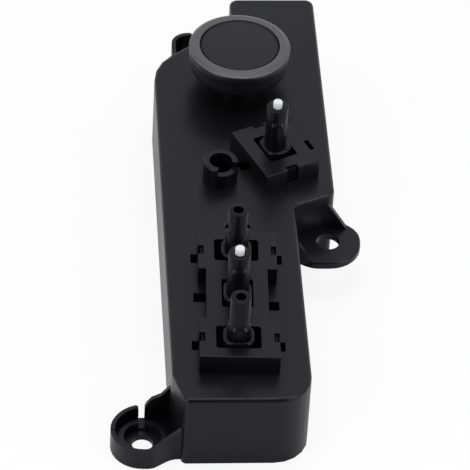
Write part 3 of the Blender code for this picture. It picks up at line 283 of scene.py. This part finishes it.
# a closed profile of (radius, height) in millimetres, spun round an upright axis
def spunMesh(name, profile, steps, centre=(0.0, 0.0)):
    shape = bmesh.new()
    corners = [shape.verts.new(metres(radius, 0.0, height)) for radius, height in profile]
    edges = [shape.edges.new((corners[k - 1], corners[k])) for k in range(1, len(corners))]
    if profile[0][0] > 0.0:
        edges.append(shape.edges.new((corners[-1], corners[0])))
    bmesh.ops.spin(shape, geom=corners + edges, cent=(0, 0, 0), axis=(0, 0, 1), angle=2 * math.pi, steps=steps,
                   use_merge=True)
    bmesh.ops.remove_doubles(shape, verts=shape.verts, dist=metres(weld["spun"]))
    bmesh.ops.recalc_face_normals(shape, faces=shape.faces)
    bmesh.ops.translate(shape, vec=metres(*centre, 0.0), verts=shape.verts)
    return finishedMesh(shape, name, sharpFrom=32.0)


# the lumbar knob: hollow tapered skirt, stepped ring and inset disc, heights from the underside
knob = {"deck": 37.5, "bottom": 30.5, "radius": 15.25, "side": 15.0, "wall": 1.6, "stem": 3.3, "stemWall": 1.6,
        "stemLength": 4.5, "ringInner": 12.05, "ringFlat": 1.9, "ringLow": 37.8, "ringTop": 38.8, "slit": 0.45,
        "discTop": 38.5, "skirtSteps": 160, "ringSteps": 192, "discSteps": 160}


def makeKnob():
    deck, low, wide, side, wall = (knob[name] for name in ("deck", "bottom", "radius", "side", "wall"))
    stem, tube, ceiling = knob["stem"], knob["stem"] + knob["stemWall"], deck - wall
    skirt = [
        (0.0, deck), (wide - 0.55, deck), (wide - 0.25, deck - 0.1), (wide - 0.12, deck - 0.3),
        (wide - 0.1, deck - 0.6), (wide - 0.1, deck - 1.5), (wide - 0.14, deck - 1.85), (side, deck - 2.3),
        (side - 0.02, deck - 3.4), (side - 0.1, low + 2.2), (side - 0.22, low + 1.4), (side - 0.45, low + 0.75),
        (side - 0.75, low + 0.3), (side - 1.1, low), (side - 1.35, low + 0.05), (side - 0.3 - wall, low + 1.2),
        (side - 0.2 - wall, ceiling), (tube, ceiling), (tube, ceiling - knob["stemLength"]),
        (stem, ceiling - knob["stemLength"]), (stem, ceiling), (0.0, ceiling),
    ]
    inner, foot, top = knob["ringInner"], knob["ringLow"], knob["ringTop"]
    flat = inner + knob["ringFlat"]
    ring = [
        (inner, foot), (inner, top - 0.2), (inner + 0.04, top - 0.1), (inner + 0.13, top - 0.05),
        (flat - 0.34, top - 0.08), (flat - 0.26, top - 0.02), (flat - 0.14, top), (flat, top - 0.02),
        (flat + 0.1, top - 0.09), (wide - 0.4, top - 0.62), (wide - 0.16, top - 0.72),
        (wide - 0.04, top - 0.82), (wide, top - 0.92), (wide - 0.05, foot + 0.02), (wide - 0.1, foot),
    ]
    edge, disc = inner - knob["slit"], knob["discTop"]
    plate = [
        (0.0, disc), (edge - 0.25, disc), (edge - 0.1, disc - 0.04), (edge - 0.02, disc - 0.14),
        (edge, disc - 0.25), (edge, foot), (0.0, foot),
    ]
    placePiece("knobSkirt", spunMesh("knobSkirt", skirt, knob["skirtSteps"]), "knob", knobNylon,
               "knob_skirt")
    placePiece("knobRing", spunMesh("knobRing", ring, knob["ringSteps"]), "knob", satinLacquer, "knob_ring")
    placePiece("knobDisc", spunMesh("knobDisc", plate, knob["discSteps"]), "knob", discPaint, "knob_disc")


makeKnob()
print("switch: knob made")


# levers: where each stands, which way its foot is turned, its radius above the shoulder, the shoulder's height,
# its bore's radius and depth (0 goes right through), and how far round and how high its snap ramps sit
levers = {
    "a": {"at": (8.7, -37.3), "turn": 25.0, "radius": 3.15, "shoulder": 40.0, "bore": (1.65, 0.0),
          "recess": False, "rampTurn": 18.0, "rampHeight": 40.9},
    "b": {"at": (-5.272, -82.711), "turn": 88.0, "radius": 2.85, "shoulder": 38.2, "bore": (1.5, 9.0),
          "recess": True, "rampTurn": 90.0, "rampHeight": 40.0},
    "c": {"at": (-5.9, -100.7), "turn": -2.0, "radius": 3.15, "shoulder": 41.0, "bore": (1.65, 0.0),
          "recess": True, "rampTurn": 24.0, "rampHeight": 41.1},
    "d": {"at": (-6.528, -118.689), "turn": 88.0, "radius": 2.85, "shoulder": 35.6, "bore": (1.5, 9.0),
          "recess": True, "rampTurn": 24.0, "rampHeight": 35.7},
}
# what they share: the shaft's ends, the foot and its hollow, and the ramps (width, depth, height)
lever = {"top": 45.8, "base": 3.25, "cut": 26.45, "steps": 64, "footTop": 31.5, "footLow": 26.5,
         "footSize": (8.0, 8.8), "footRound": 2.7, "footSegments": 5, "rimRound": 0.6, "rimShares": (0.38, 0.72, 1.0),
         "recessRim": 1.2, "recessRound": 1.9, "recessDepth": 2.2, "recessLip": (0.3, 0.2),
         "ramp": (1.4, 1.4, 1.7), "rampEdge": 0.35, "rampLean": 38.0, "rampOut": 0.45, "sharpFrom": 40.0}


# the lever's hidden lower half, cut level below the foot and closed there
def lowerHalf(key):
    shape = joinedCopy("stalk_" + key)
    cut = bmesh.ops.bisect_plane(shape, geom=shape.verts[:] + shape.edges[:] + shape.faces[:],
                                 plane_co=metres(0, 0, lever["cut"]), plane_no=(0, 0, 1), clear_outer=True)
    rims = [item for item in cut["geom_cut"] if isinstance(item, bmesh.types.BMEdge)]
    bmesh.ops.triangle_fill(shape, edges=rims, use_beauty=True)
    return finishedMesh(shape, "lowerHalf" + key.upper())


# the edges of a flat rounded rectangle at a height
def roundedLoop(shape, size, corner, height):
    made = bmesh.ops.create_grid(shape, x_segments=1, y_segments=1, size=0.5)
    bmesh.ops.scale(shape, vec=metres(*size) + [1.0], verts=made["verts"])
    bmesh.ops.translate(shape, vec=metres(0, 0, height), verts=made["verts"])
    rounded = bmesh.ops.bevel(shape, geom=made["verts"], offset=metres(corner), offset_type="OFFSET",
                              segments=lever["footSegments"], profile=0.5, affect="VERTICES", clamp_overlap=True,
                              material=-1)
    face = max((face for point in rounded["verts"] for face in point.link_faces), key=lambda one: one.calc_area())
    edges = list(face.edges)
    bmesh.ops.delete(shape, geom=[face], context="FACES_ONLY")
    return edges


# the foot: a rounded block with a softly rounded rim, and on three levers a hollow round the shaft
def addFoot(shape, hollow):
    wide, long = lever["footSize"]
    high, soft, corner = lever["footTop"], lever["rimRound"], lever["footRound"]
    loops = [roundedLoop(shape, (wide, long), corner, lever["footLow"]),
             roundedLoop(shape, (wide, long), corner, high - soft)]
    for share in lever["rimShares"]:
        drop = soft * (1.0 - math.sin(share * math.pi / 2))
        bite = 2 * soft * (1.0 - math.cos(share * math.pi / 2))
        loops.append(roundedLoop(shape, (wide - bite, long - bite), corner - bite / 3, high - drop))
    if hollow:
        inner = (wide - 2 * lever["recessRim"], long - 2 * lever["recessRim"])
        lipOut, lipDown = lever["recessLip"]
        for out, down in ((lipOut, 0.0), (0.0, lipDown), (0.0, lever["recessDepth"])):
            loops.append(roundedLoop(shape, (inner[0] + out, inner[1] + out), lever["recessRound"], high - down))
    for k in range(1, len(loops)):
        bmesh.ops.bridge_loops(shape, edges=loops[k - 1] + loops[k])
    bmesh.ops.edgeloop_fill(shape, edges=loops[0])
    bmesh.ops.edgeloop_fill(shape, edges=loops[-1])


# a snap ramp on the shaft, a leaning pad with soft edges, turned from the front by an angle
def addRamp(shape, angle, height):
    wide, deep, tall = lever["ramp"]
    pad = bmesh.new()
    bmesh.ops.create_cube(pad, size=1.0)
    bmesh.ops.scale(pad, vec=metres(wide, deep, tall), verts=pad.verts)
    bmesh.ops.bevel(pad, geom=pad.edges[:], offset=metres(lever["rampEdge"]), offset_type="OFFSET", segments=3,
                    profile=0.5, affect="EDGES", clamp_overlap=True, material=-1)
    bmesh.ops.rotate(pad, cent=(0, 0, 0), matrix=Matrix.Rotation(math.radians(-lever["rampLean"]), 3, "X"),
                     verts=pad.verts)
    bmesh.ops.translate(pad, vec=metres(0, deep / 2 - lever["base"] - lever["rampOut"], 0), verts=pad.verts)
    bmesh.ops.rotate(pad, cent=(0, 0, 0), matrix=Matrix.Rotation(math.radians(angle), 3, "Z"), verts=pad.verts)
    bmesh.ops.translate(pad, vec=metres(0, 0, height), verts=pad.verts)
    shape.from_mesh(finishedMesh(pad, "ramp"))


def makeLever(key):
    values = levers[key]
    radius, shoulder, top, base = values["radius"], values["shoulder"], lever["top"], lever["base"]
    bore, depth = values["bore"]
    shape = bmesh.new()
    addFoot(shape, values["recess"])
    bmesh.ops.rotate(shape, cent=(0, 0, 0), matrix=Matrix.Rotation(math.radians(values["turn"]), 3, "Z"),
                     verts=shape.verts)
    for way in (-1, 1):
        addRamp(shape, way * values["rampTurn"], values["rampHeight"])
    bmesh.ops.translate(shape, vec=metres(*values["at"], 0.0), verts=shape.verts)
    shaft = [
        (bore, top), (radius - 0.3, top), (radius - 0.1, top - 0.06), (radius, top - 0.25),
        (radius, shoulder + 0.9), (radius + (base - radius) * 0.25, shoulder + 0.65),
        (radius + (base - radius) * 0.8, shoulder + 0.3), (base, shoulder), (base, lever["footTop"] - 1.9),
        (base, lever["cut"]),
    ]
    if depth > 0.0:
        shaft = [(0.0, top - depth), (bore, top - depth)] + shaft + [(0.0, lever["cut"])]
    else:
        shaft.append((bore, lever["cut"]))
    shape.from_mesh(spunMesh("shaft" + key.upper(), shaft, lever["steps"], values["at"]))
    shape.from_mesh(lowerHalf(key))
    bmesh.ops.recalc_face_normals(shape, faces=shape.faces)
    pieceName = "lever" + key.upper()
    placePiece(pieceName, finishedMesh(shape, pieceName, lever["sharpFrom"]), "lever_" + key, leverAcetal,
               "stalk_" + key)


for key in levers:
    makeLever(key)
print("switch: levers made")


# light guides: a straight rod with a soft dome, one in each lit lever
guide = {"radius": 1.35, "low": 13.9, "top": 47.8, "steps": 48}


def makeGuide(key):
    radius, low, top = guide["radius"], guide["low"], guide["top"]
    rod = [
        (0.0, low), (radius - 0.1, low), (radius, low + 0.1), (radius, top - 0.5), (radius - 0.04, top - 0.32),
        (radius - 0.15, top - 0.16), (radius - 0.32, top - 0.06), (radius - 0.6, top - 0.01), (0.0, top),
    ]
    pieceName = "lightGuide" + key.upper()
    placePiece(pieceName, spunMesh(pieceName, rod, guide["steps"], levers[key]["at"]), "lever_" + key,
               guideAcrylic, "light_guide_" + key)


for key in "ac":
    makeGuide(key)
print("switch: light guides made")


# the rays that show a background: straight to the camera, by a gloss at its own share, or through a clear piece
def shownRays(tree, mirrored=1.0):
    rays = addNode(tree, "ShaderNodeLightPath")
    both = addNode(tree, "ShaderNodeMath", {"operation": "MULTIPLY_ADD", 1: mirrored},
                   {0: rays.outputs["Is Glossy Ray"], 2: rays.outputs["Is Camera Ray"]})
    whole = addNode(tree, "ShaderNodeMath", {"operation": "ADD", "use_clamp": True},
                    {0: both.outputs["Value"], 1: rays.outputs["Is Transmission Ray"]})
    return whole.outputs["Value"]


# a flat sheet of the studio, which isn't part of the object
def stageSheet(name, shape, finish):
    sheet = bpy.data.objects.new(name, finishedMesh(shape, name))
    bpy.context.scene.collection.objects.link(sheet)
    dress(sheet, finish)
    return sheet


# pale floor just under the switch, which shows as white but keeps the shadow, sizes in metres
floor = {"colour": "#f2f2f2", "size": 6.0, "drop": 0.0002, "whiteShare": 0.88, "mirrored": 0.35}


def makeFloor():
    shape = bmesh.new()
    bmesh.ops.create_grid(shape, x_segments=1, y_segments=1, size=floor["size"])
    bmesh.ops.translate(shape, vec=(0.0, 0.0, -floor["drop"]), verts=shape.verts)
    finish, tree, shader = newFinish("pale floor", 0.9, reflect=0.0)
    shader.inputs["Base Color"].default_value = linearColour(floor["colour"])
    glow = addNode(tree, "ShaderNodeEmission", {"Color": (1.0, 1.0, 1.0, 1.0), "Strength": 1.0})
    seen = addNode(tree, "ShaderNodeMath", {"operation": "MULTIPLY", 1: floor["whiteShare"]},
                   {0: shownRays(tree, floor["mirrored"])})
    mix = addNode(tree, "ShaderNodeMixShader", feeds={
        0: seen.outputs["Value"], 1: shader.outputs["BSDF"], 2: glow.outputs["Emission"],
    })
    tree.links.new(mix.outputs["Shader"], tree.nodes["Material Output"].inputs["Surface"])
    stageSheet("floor", shape, finish)


# a black card behind the camera, which only shows as the dark side of rounded edges, sizes in metres
card = {"colour": "#060606", "away": 1.5, "halfWidth": 1.3, "top": 2.5}


def makeCard():
    shape = bmesh.new()
    bmesh.ops.create_grid(shape, x_segments=1, y_segments=1, size=1.0)
    bmesh.ops.scale(shape, vec=(card["halfWidth"], card["top"] / 2, 1.0), verts=shape.verts)
    bmesh.ops.rotate(shape, cent=(0, 0, 0), matrix=Matrix.Rotation(math.pi / 2, 3, "X"), verts=shape.verts)
    bmesh.ops.translate(shape, vec=(0.0, -card["away"], card["top"] / 2), verts=shape.verts)
    finish, tree, shader = newFinish("black felt", 1.0, reflect=0.0)
    shader.inputs["Base Color"].default_value = linearColour(card["colour"])
    sheet = stageSheet("dark card", shape, finish)
    sheet.visible_camera = False
    sheet.visible_diffuse = False
    sheet.visible_shadow = False


# world: dim at the camera's side, brighter behind the switch, white where the camera sees it
sky = {"front": 0.1, "behind": 0.85, "turnsOver": 0.6}


def makeWorld():
    world = bpy.data.worlds.new("studio")
    world.use_nodes = True
    tree = world.node_tree
    backdrop = tree.nodes["Background"]
    white = addNode(tree, "ShaderNodeBackground", {"Color": (1.0, 1.0, 1.0, 1.0), "Strength": 1.0})
    way = addNode(tree, "ShaderNodeTexCoord")
    parts = addNode(tree, "ShaderNodeSeparateXYZ", feeds={"Vector": way.outputs["Generated"]})
    behind = addNode(tree, "ShaderNodeMapRange", {
        "From Min": -sky["turnsOver"], "From Max": sky["turnsOver"], "To Min": sky["front"], "To Max": sky["behind"],
    }, {"Value": parts.outputs["Y"]})
    backdrop.inputs["Color"].default_value = (1.0, 1.0, 1.0, 1.0)
    tree.links.new(behind.outputs["Result"], backdrop.inputs["Strength"])
    mix = addNode(tree, "ShaderNodeMixShader", feeds={
        0: shownRays(tree), 1: backdrop.outputs["Background"], 2: white.outputs["Background"],
    })
    tree.links.new(mix.outputs["Shader"], tree.nodes["World Output"].inputs["Surface"])
    bpy.context.scene.world = world


# soft boxes that look at the switch: where each stands, its size in metres and its power in watts
lampsAim = (0.0, -0.05, 0.0)
lamps = {
    "softBoxAbove": {"at": (0.0, 0.1, 1.4), "size": (0.9, 0.5), "power": 6.5},
    "softBoxLeft": {"at": (-0.82, -0.72, 0.56), "size": (0.5, 0.5), "power": 4.6},
    "softBoxRight": {"at": (0.82, -0.72, 0.56), "size": (0.5, 0.5), "power": 4.6},
}


def makeLamps():
    for name, values in lamps.items():
        light = bpy.data.lights.new(name, "AREA")
        light.shape = "RECTANGLE"
        light.size, light.size_y = values["size"]
        light.energy = values["power"]
        holder = bpy.data.objects.new(name, light)
        holder.location = values["at"]
        aim = Vector(lampsAim) - Vector(values["at"])
        holder.rotation_euler = aim.to_track_quat("-Z", "Y").to_euler()
        bpy.context.scene.collection.objects.link(holder)


# the photograph's viewpoint: a place in metres, turns in degrees, and the lens in millimetres
view = {"at": (-0.0771, -0.8414, 0.7178), "heading": -5.364, "tip": 48.19, "roll": 3.346, "lens": 276.13,
        "sensor": 36.0, "nearest": 0.01}


def makeCamera():
    camera = bpy.data.cameras.new("camera")
    camera.lens = view["lens"]
    camera.sensor_width = view["sensor"]
    camera.clip_start = view["nearest"]
    holder = bpy.data.objects.new("camera", camera)
    turn = (Matrix.Rotation(math.radians(view["heading"]), 4, "Z")
            @ Matrix.Rotation(math.radians(view["tip"]), 4, "X")
            @ Matrix.Rotation(math.radians(view["roll"]), 4, "Z"))
    holder.matrix_world = Matrix.Translation(view["at"]) @ turn
    bpy.context.scene.collection.objects.link(holder)
    bpy.context.scene.camera = holder


makeFloor()
makeCard()
makeWorld()
makeLamps()
makeCamera()
bpy.context.scene.view_settings.view_transform = "Standard"
print("switch: floor, card, world, lamps and camera set")
